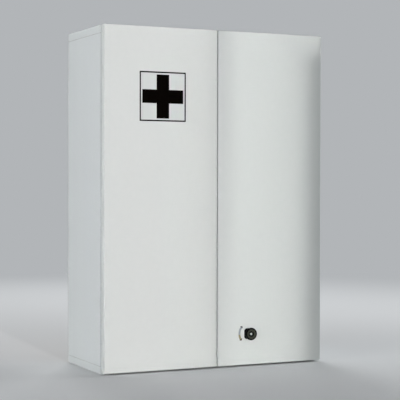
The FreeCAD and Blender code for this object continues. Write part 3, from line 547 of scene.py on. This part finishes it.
# printed film: nearly even colour, with the faint unevenness of screen print and little shine
def inkFinish(name):
    colourHex, shadeHex, roughness = inks[name]
    finish, tree = newFinish(name)
    spot = put(tree, "ShaderNodeTexCoord")
    mottle = put(tree, "ShaderNodeTexNoise",
                 {"Vector": spot.outputs["Object"], "Scale": 1 / (screenPrint["mottleMm"] * mm),
                  "Detail": 3.0})
    colour = put(tree, "ShaderNodeMix",
                 {0: mottle.outputs[0], 6: linear(shadeHex), 7: linear(colourHex)}, data_type="RGBA")
    shader = put(tree, "ShaderNodeBsdfPrincipled",
                 {"Base Color": colour.outputs[2], "Roughness": roughness,
                  "Specular IOR Level": screenPrint["shine"]})
    put(tree, "ShaderNodeOutputMaterial", {"Surface": shader.outputs[0]})
    return finish


bumperGum = {
    "colour": "#e8ecec",
    "roughness": 0.25,
    "glossSwing": 0.3,
    "cloudMm": 4.0,
    "clearness": 0.55,
    "ior": 1.47,
}


# soft clear polyurethane: milky, with a wet shine
def gumFinish(spec):
    finish, tree = newFinish("clear soft polyurethane")
    spot = put(tree, "ShaderNodeTexCoord")
    cloud = put(tree, "ShaderNodeTexNoise",
                {"Vector": spot.outputs["Object"], "Scale": 1 / (spec["cloudMm"] * mm)})
    gloss = put(tree, "ShaderNodeMapRange",
                {"Value": cloud.outputs[0], "To Min": spec["roughness"] * (1 - spec["glossSwing"]),
                 "To Max": spec["roughness"] * (1 + spec["glossSwing"])})
    shader = put(tree, "ShaderNodeBsdfPrincipled",
                 {"Base Color": linear(spec["colour"]), "Roughness": gloss.outputs[0],
                  "Transmission Weight": spec["clearness"], "IOR": spec["ior"]})
    put(tree, "ShaderNodeOutputMaterial", {"Surface": shader.outputs[0]})
    return finish


lacquer = lacquerFinish(doorLacquer)
whiteBoard = melamineFinish("white melamine chipboard", melamine, True)
shelfBoard = melamineFinish("edged melamine shelf board", melamine, False)
backBoard = hardboardFinish(hardboard)
nickel, zinc, screwZinc, brightSteel = [metalFinish(name) for name in metals]
rosetteAbs = plasticFinish("polished black ABS", lockPlastic, False)
knobAbs = plasticFinish("black ABS with painted face sheen", lockPlastic, True)
beechWood = beechFinish(beech)
blackVinyl, whiteVinyl, bluePrint, blueHeadPrint, ochrePrint, ochreHeadPrint = [inkFinish(n) for n in inks]
gum = gumFinish(bumperGum)

slotFinish = {
    "white_door_board": lacquer,
    "white_board": whiteBoard,
    "hardboard": backBoard,
    "beech": beechWood,
    "dark_plastic": rosetteAbs,
    "soft_clear_bumper": gum,
    "polished_steel": brightSteel,
    "die_cast_zinc": zinc,
    "nickel_steel": nickel,
}
for subpart in frame["record"]["subparts"]:
    wear(nodes[subpart["node"]], slotFinish[subpart["material_slot"]])
for node in ("upper_shelf", "lower_shelf", "hanging_rail", "lower_rail"):
    wear(nodes[node], shelfBoard)
print("finishes on all CAD nodes")


# shapes shared by the pieces below

creaseDeg = 32.0  # edges sharper than this stay crisp


# a turned mesh from radius and height pairs, about local Z
def lathe(profile, segments):
    bm = bmesh.new()
    spin = [2 * math.pi * i / segments for i in range(segments)]
    rings = []
    for radius, height in profile:
        if not radius:
            rings.append([bm.verts.new((0, 0, height))] * segments)
        else:
            rings.append([bm.verts.new((radius * math.cos(a), radius * math.sin(a), height)) for a in spin])
    for lower, upper in zip(rings, rings[1:]):
        for i in range(segments):
            j = (i + 1) % segments
            corners = [lower[i], lower[j], upper[j], upper[i]]
            corners = [v for k, v in enumerate(corners) if v not in corners[:k]]
            if len(corners) > 2:
                bm.faces.new(corners)
    return bm


# a profile for lathe whose corners, given as radius, height and rounding, become arcs
def roundedProfile(corners, steps):
    profile = []
    for i, (radius, height, rounding) in enumerate(corners):
        corner = Vector((radius, height))
        if not rounding:
            profile.append((radius, height))
            continue
        back = (Vector(corners[i - 1][:2]) - corner).normalized()
        ahead = (Vector(corners[i + 1][:2]) - corner).normalized()
        halfAngle = back.angle(ahead) / 2
        centre = corner + (back + ahead).normalized() * rounding / math.sin(halfAngle)
        spoke = corner + back * rounding / math.tan(halfAngle) - centre
        sweep = math.copysign(math.pi - 2 * halfAngle, back.x * ahead.y - back.y * ahead.x)
        for step in range(steps + 1):
            profile.append(tuple(centre + Matrix.Rotation(-sweep * step / steps, 2) @ spoke))
    return profile


# the points of an arc about a centre
def roundCorner(centre, radius, startDeg, endDeg, steps):
    turns = [math.radians(startDeg + (endDeg - startDeg) * i / steps) for i in range(steps + 1)]
    return [(centre[0] + radius * math.cos(a), centre[1] + radius * math.sin(a)) for a in turns]


# a thin film on a door: its outline and hole are x and z pairs, and it stands from one y to another
def film(name, outline, yBack, yFront, hole=None):
    bm = bmesh.new()
    back, front = [[bm.verts.new((x, y, z)) for x, z in outline] for y in (yBack, yFront)]
    steps = [(i, (i + 1) % len(outline)) for i in range(len(outline))]
    for i, j in steps:
        bm.faces.new((back[i], back[j], front[j], front[i]))
    if hole is None:
        bm.faces.new(front)
        bm.faces.new(list(reversed(back)))
    else:
        holeBack, holeFront = [[bm.verts.new((x, y, z)) for x, z in hole] for y in (yBack, yFront)]
        for i, j in steps:
            bm.faces.new((holeBack[j], holeBack[i], holeFront[i], holeFront[j]))
            bm.faces.new((front[i], front[j], holeFront[j], holeFront[i]))
            bm.faces.new((back[j], back[i], holeBack[i], holeBack[j]))
    return newPiece(name, meshFrom(bm, name))


# an oblong with rounded corners, inset on every side from half its width and height
def roundedOblong(centre, half, inset, radius, steps):
    across, upright = (side - inset - radius for side in half)
    outline = []
    for signX, signZ, start in ((1, 1, 0), (-1, 1, 90), (-1, -1, 180), (1, -1, 270)):
        corner = (centre[0] + signX * across, centre[1] + signZ * upright)
        outline += roundCorner(corner, radius, start, start + 90, steps)
    return outline


def smooth(piece):
    for face in piece.data.polygons:
        face.use_smooth = True
    piece.data.set_sharp_from_angle(angle=math.radians(creaseDeg))


def finishPiece(piece, body, slot, finish, *replaced):
    wear(piece, finish)
    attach(piece, body)
    if replaced:
        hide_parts(*replaced)


# the first-aid sign on the left door

sign = {
    "centreFromHingeEdge": 127.2 * mm,
    "centreFromTop": 140.7 * mm,
    "width": 102.6 * mm,
    "height": 101.0 * mm,
    "cornerRadius": 0.8 * mm,
    "cornerSteps": 4,
    "borderInset": 0.2 * mm,
    "borderWidth": 2.8 * mm,
    "crossWidth": 90.6 * mm,
    "crossHeight": 88.9 * mm,
    "barWidth": 27.7 * mm,
    "filmThickness": 0.2 * mm,
    "inkThickness": 0.06 * mm,
}


def makeSign(spec):
    low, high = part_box("left_door_panel")
    centre = (low.x + spec["centreFromHingeEdge"], high.z - spec["centreFromTop"])
    doorFace = low.y
    filmFace = doorFace - spec["filmThickness"]
    inkFace = filmFace - spec["inkThickness"]
    half = (spec["width"] / 2, spec["height"] / 2)
    rounding, steps = spec["cornerRadius"], spec["cornerSteps"]
    inset = spec["borderInset"]
    field = film("signField", roundedOblong(centre, half, 0, rounding, steps), doorFace, filmFace)
    border = film("signBorder", roundedOblong(centre, half, inset, rounding, steps), filmFace, inkFace,
                  roundedOblong(centre, half, inset + spec["borderWidth"], rounding / 2, steps))
    reaches = (spec["crossWidth"] / 2, spec["crossHeight"] / 2)
    bar = spec["barWidth"] / 2
    cross = []
    for turn in range(4):
        reach = reaches[turn % 2]
        for x, z in ((reach, -bar), (reach, bar), (bar, bar)):
            for quarter in range(turn):
                x, z = -z, x
            cross.append((centre[0] + x, centre[1] + z))
    plus = film("signCross", cross, filmFace, inkFace)
    finishPiece(field, "left_door", "white_door_board", whiteVinyl)
    for piece in (border, plus):
        finishPiece(piece, "left_door", "dark_plastic", blackVinyl)


makeSign(sign)
print("first-aid sign made")


# the printed turn arrow beside the knob

turnArrow = {
    "radius": 22.6 * mm,
    "bandWidth": 4.6 * mm,
    "headWidth": 7.8 * mm,
    "headDeg": 9.0,
    "upperTipDeg": 46.0,  # turns are measured up from the left of the knob's axis
    "changeDeg": -4.8,
    "lowerTipDeg": -39.0,
    "steps": 24,
    "inkThickness": 0.08 * mm,
}


def knobAxis():
    low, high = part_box("lock_spindle")
    return (low.x + high.x) / 2, (low.z + high.z) / 2


# a point beside the knob, by its distance from the axis and its turn up from the left
def besideKnob(radius, degrees):
    axisX, axisZ = knobAxis()
    turn = math.radians(degrees)
    return axisX - radius * math.cos(turn), axisZ + radius * math.sin(turn)


def makeTurnArrow(spec):
    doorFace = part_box("right_door_panel")[0].y
    inkFace = doorFace - spec["inkThickness"]
    radius = spec["radius"]
    halfBand, halfHead = spec["bandWidth"] / 2, spec["headWidth"] / 2
    halves = (("Upper", spec["upperTipDeg"], bluePrint, blueHeadPrint),
              ("Lower", spec["lowerTipDeg"], ochrePrint, ochreHeadPrint))
    for name, tip, bandInk, headInk in halves:
        start = spec["changeDeg"]
        neck = tip - math.copysign(spec["headDeg"], tip)
        turns = [start + (neck - start) * i / spec["steps"] for i in range(spec["steps"] + 1)]
        band = [besideKnob(radius + halfBand, turn) for turn in turns]
        band += [besideKnob(radius - halfBand, turn) for turn in reversed(turns)]
        head = [besideKnob(radius + halfHead, neck), besideKnob(radius, tip),
                besideKnob(radius - halfHead, neck)]
        for part, outline, ink in (("Band", band, bandInk), ("Head", head, headInk)):
            piece = film("turnArrow" + name + part, outline, doorFace, inkFace)
            finishPiece(piece, "right_door", "dark_plastic", ink)


makeTurnArrow(turnArrow)
print("turn arrow made")


# the turn knob, smoother than its CAD node

knob = {
    "segments": 96,
    "cornerSteps": 6,
    "rimRound": 1.5 * mm,
    "rimHeight": 3.2 * mm,
    "faceRing": 10.6 * mm,
    "faceStep": 0.3 * mm,
    "faceDish": 0.8 * mm,
    "recessRadius": 4.8 * mm,
    "recessDepth": 3.2 * mm,
    "recessRound": 0.6 * mm,
    "waistRadius": 8.8 * mm,
    "waistHeight": 2.4 * mm,
    "waistRound": 1.5 * mm,
    "screwHeadHeight": 1.4 * mm,
    "screwShankRadius": 1.4 * mm,
    "screwHeadRound": 0.4 * mm,
}


# a turned piece on the lock's axis; the profile's height runs forwards from y
def onLock(name, profile, y, segments):
    axisX, axisZ = knobAxis()
    bm = lathe(profile, segments)
    place = Matrix.Translation((axisX, y, axisZ)) @ Matrix.Rotation(math.radians(90), 4, "X")
    bmesh.ops.transform(bm, matrix=place, verts=bm.verts)
    piece = newPiece(name, meshFrom(bm, name))
    smooth(piece)
    return piece


def makeKnob(spec):
    low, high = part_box("lock_knob")
    radius = (high.x - low.x) / 2
    tall = high.y - low.y
    ring, step = spec["faceRing"], spec["faceStep"]
    recessFloor = tall - spec["recessDepth"]
    corners = [
        (0, 0, 0),
        (spec["waistRadius"], 0, 0),
        (spec["waistRadius"], spec["waistHeight"], spec["waistRound"]),
        (radius, tall - spec["rimHeight"], spec["rimRound"]),
        (radius, tall, spec["rimRound"]),
        (ring, tall, 0),
        (ring - step, tall - step, 0),
        (spec["recessRadius"], tall - spec["faceDish"], spec["recessRound"]),
        (spec["recessRadius"], recessFloor, 0),
        (0, recessFloor, 0),
    ]
    piece = onLock("turnKnob", roundedProfile(corners, spec["cornerSteps"]), high.y, spec["segments"])
    finishPiece(piece, "turn_lock", "dark_plastic", knobAbs, "lock_knob")


# the plain bright head of the screw in the knob's middle
def makeKnobScrew(spec):
    low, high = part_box("knob_screw")
    radius = (high.x - low.x) / 2
    length = high.y - low.y
    seat = length - spec["screwHeadHeight"]
    shank = spec["screwShankRadius"]
    corners = [
        (0, 0, 0),
        (shank, shank, 0),
        (shank, seat, 0),
        (radius, seat, 0),
        (radius, length, spec["screwHeadRound"]),
        (0, length, 0),
    ]
    piece = onLock("knobScrew", roundedProfile(corners, spec["cornerSteps"]), high.y, spec["segments"])
    finishPiece(piece, "turn_lock", "polished_steel", brightSteel, "knob_screw")


makeKnob(knob)
makeKnobScrew(knob)
print("turn knob and its screw made")


# cross-head screws, one row for each CAD node of screws

screws = {
    # node: body, way the head faces, where None is towards the cabinet's middle, head height and
    # shank radius in mm
    "left_cup_screws": ("left_door", (0, 1, 0), 1.8, 1.7),
    "right_cup_screws": ("right_door", (0, 1, 0), 1.8, 1.7),
    "hinge_plate_screws": ("carcass", None, 1.8, 1.7),
    "hinge_clamp_screws": ("carcass", None, 2.2, 2.4),
    "lock_strike_screws": ("carcass", (0, 0, 1), 1.3, 1.3),
    "bolt_strike_screws": ("carcass", (0, 0, 1), 1.3, 1.3),
    "bolt_guide_screws": ("left_door", (0, 1, 0), 1.3, 1.3),
}
screwHead = {
    "segments": 40,
    "domeSteps": 7,
    "rimShare": 0.3,  # straight rim under the dome, of the head's height
    "recessSpan": 1.05,  # shares of the head's radius
    "recessWidth": 0.26,
    "recessDepth": 0.4,
    "seed": 7,
}
mergeGap = 0.0001 * mm  # corners of a CAD mesh that are closer than this are one corner


# the separate solids of a CAD node, each as its lowest and highest corner
def solidBoxes(node):
    bm = bmesh.new()
    bm.from_mesh(nodes[node].data)
    bmesh.ops.remove_doubles(bm, verts=bm.verts, dist=mergeGap)
    boxes = []
    waiting = set(bm.verts)
    while waiting:
        reached = [waiting.pop()]
        for vert in reached:
            near = {edge.other_vert(vert) for edge in vert.link_edges} & waiting
            waiting -= near
            reached += near
        spots = list(zip(*[vert.co for vert in reached]))
        boxes.append((Vector(map(min, spots)), Vector(map(max, spots))))
    bm.free()
    return boxes


# a screw without its recess, its head's top at the origin and its point down
def plainScrew(radius, headHeight, shankRadius, length, spec):
    rim = headHeight * spec["rimShare"]
    dome = [math.radians(90 * i / spec["domeSteps"]) for i in range(spec["domeSteps"] + 1)]
    profile = [(0, -length), (shankRadius, shankRadius - length), (shankRadius, -headHeight),
               (radius, -headHeight)]
    profile += [(radius * math.cos(a), (headHeight - rim) * (math.sin(a) - 1)) for a in dome[:-1]]
    profile.append((0, 0))
    return newPiece("plainScrew", meshFrom(lathe(profile, spec["segments"]), "plainScrew"))


# the tree cuts the cross recess, sets a screw on each seat and turns each one its own way
def makeScrewTree():
    tree = bpy.data.node_groups.new("crossHeadScrews", "GeometryNodeTree")
    for name, kind in (("Seats", "Geometry"), ("Screw", "Object"), ("Recess Span", "Float"),
                       ("Recess Width", "Float"), ("Recess Depth", "Float"), ("Seed", "Int"),
                       ("Finish", "Material")):
        tree.interface.new_socket(name=name, in_out="INPUT", socket_type="NodeSocket" + kind)
    tree.interface.new_socket(name="Screws", in_out="OUTPUT", socket_type="NodeSocketGeometry")
    given = put(tree, "NodeGroupInput").outputs
    plain = put(tree, "GeometryNodeObjectInfo", {"Object": given["Screw"]})
    # the slots' middles are at the head's top, so half of each slot is cut into the head
    depth = put(tree, "ShaderNodeMath", {0: given["Recess Depth"], 1: 2.0}, operation="MULTIPLY")
    slots = []
    for x, y in (("Recess Span", "Recess Width"), ("Recess Width", "Recess Span")):
        size = put(tree, "ShaderNodeCombineXYZ", {0: given[x], 1: given[y], 2: depth.outputs[0]})
        slots.append(put(tree, "GeometryNodeMeshCube", {"Size": size.outputs[0]}))
    cut = put(tree, "GeometryNodeMeshBoolean",
              {"Mesh 1": plain.outputs["Geometry"], "Mesh 2": slots[0].outputs["Mesh"]},
              operation="DIFFERENCE")
    tree.links.new(slots[1].outputs["Mesh"], cut.inputs["Mesh 2"])
    way = put(tree, "GeometryNodeInputNamedAttribute", {"Name": "headWay"}, data_type="FLOAT_VECTOR")
    facing = put(tree, "FunctionNodeAlignRotationToVector", {"Vector": way.outputs[0]}, axis="Z")
    row = put(tree, "GeometryNodeInstanceOnPoints",
              {"Points": given["Seats"], "Instance": cut.outputs[0], "Rotation": facing.outputs[0]})
    # sockets 2, 3 and 8 are the least turn, the most turn and the seed; past a quarter turn a cross repeats
    turn = put(tree, "FunctionNodeRandomValue", {2: 0.0, 3: math.pi / 2, 8: given["Seed"]},
               data_type="FLOAT")
    lean = put(tree, "ShaderNodeCombineXYZ", {2: turn.outputs[1]})
    turned = put(tree, "GeometryNodeRotateInstances",
                 {"Instances": row.outputs[0], "Rotation": lean.outputs[0]})
    real = put(tree, "GeometryNodeRealizeInstances", {"Geometry": turned.outputs[0]})
    done = put(tree, "GeometryNodeSetMaterial", {"Geometry": real.outputs[0], "Material": given["Finish"]})
    put(tree, "NodeGroupOutput", {0: done.outputs[0]})
    return tree


def makeScrews(specs, head, tree):
    inputs = {item.name: item.identifier for item in tree.interface.items_tree if item.in_out == "INPUT"}
    for node, (body, headWay, headMm, shankMm) in specs.items():
        seats, ways = [], []
        for low, high in solidBoxes(node):
            middle = (low + high) / 2
            way = Vector(headWay or (-math.copysign(1, middle.x), 0, 0))
            reach = [(high - low)[i] / 2 for i in range(3)]
            along = [i for i in range(3) if abs(way[i]) > 0.5][0]
            seats.append(middle + way * reach[along])
            ways.append(way)
        # the screws of a node are alike, so the last one gives their size
        length = 2 * reach[along]
        radius = reach[along - 1]
        screw = plainScrew(radius, headMm * mm, shankMm * mm, length, head)
        mesh = bpy.data.meshes.new(node + "Seats")
        mesh.from_pydata(seats, [], [])
        mesh.attributes.new("headWay", "FLOAT_VECTOR", "POINT").data.foreach_set(
            "vector", [part for way in ways for part in way])
        carrier = newPiece(node + "Seats", mesh)
        modifier = carrier.modifiers.new("crossHeadScrews", "NODES")
        modifier.node_group = tree
        values = {
            "Screw": screw,
            "Recess Span": radius * head["recessSpan"],
            "Recess Width": radius * head["recessWidth"],
            "Recess Depth": radius * head["recessDepth"],
            "Seed": head["seed"],
            "Finish": screwZinc,
        }
        for socket, value in values.items():
            modifier[inputs[socket]] = value
        bpy.context.view_layer.update()
        seen = carrier.evaluated_get(bpy.context.evaluated_depsgraph_get())
        first, *rest = node.split("_")
        name = first + "".join(word.title() for word in rest)
        made = newPiece(name, bpy.data.meshes.new_from_object(seen))
        for spare in (carrier, screw):
            bpy.data.objects.remove(spare)
        smooth(made)
        finishPiece(made, body, "nickel_steel", screwZinc, node)
        print(made.name, len(made.data.polygons), "faces on", len(seats), "seats")


makeScrews(screws, screwHead, makeScrewTree())
print("screws made")

bpy.context.view_layer.update()
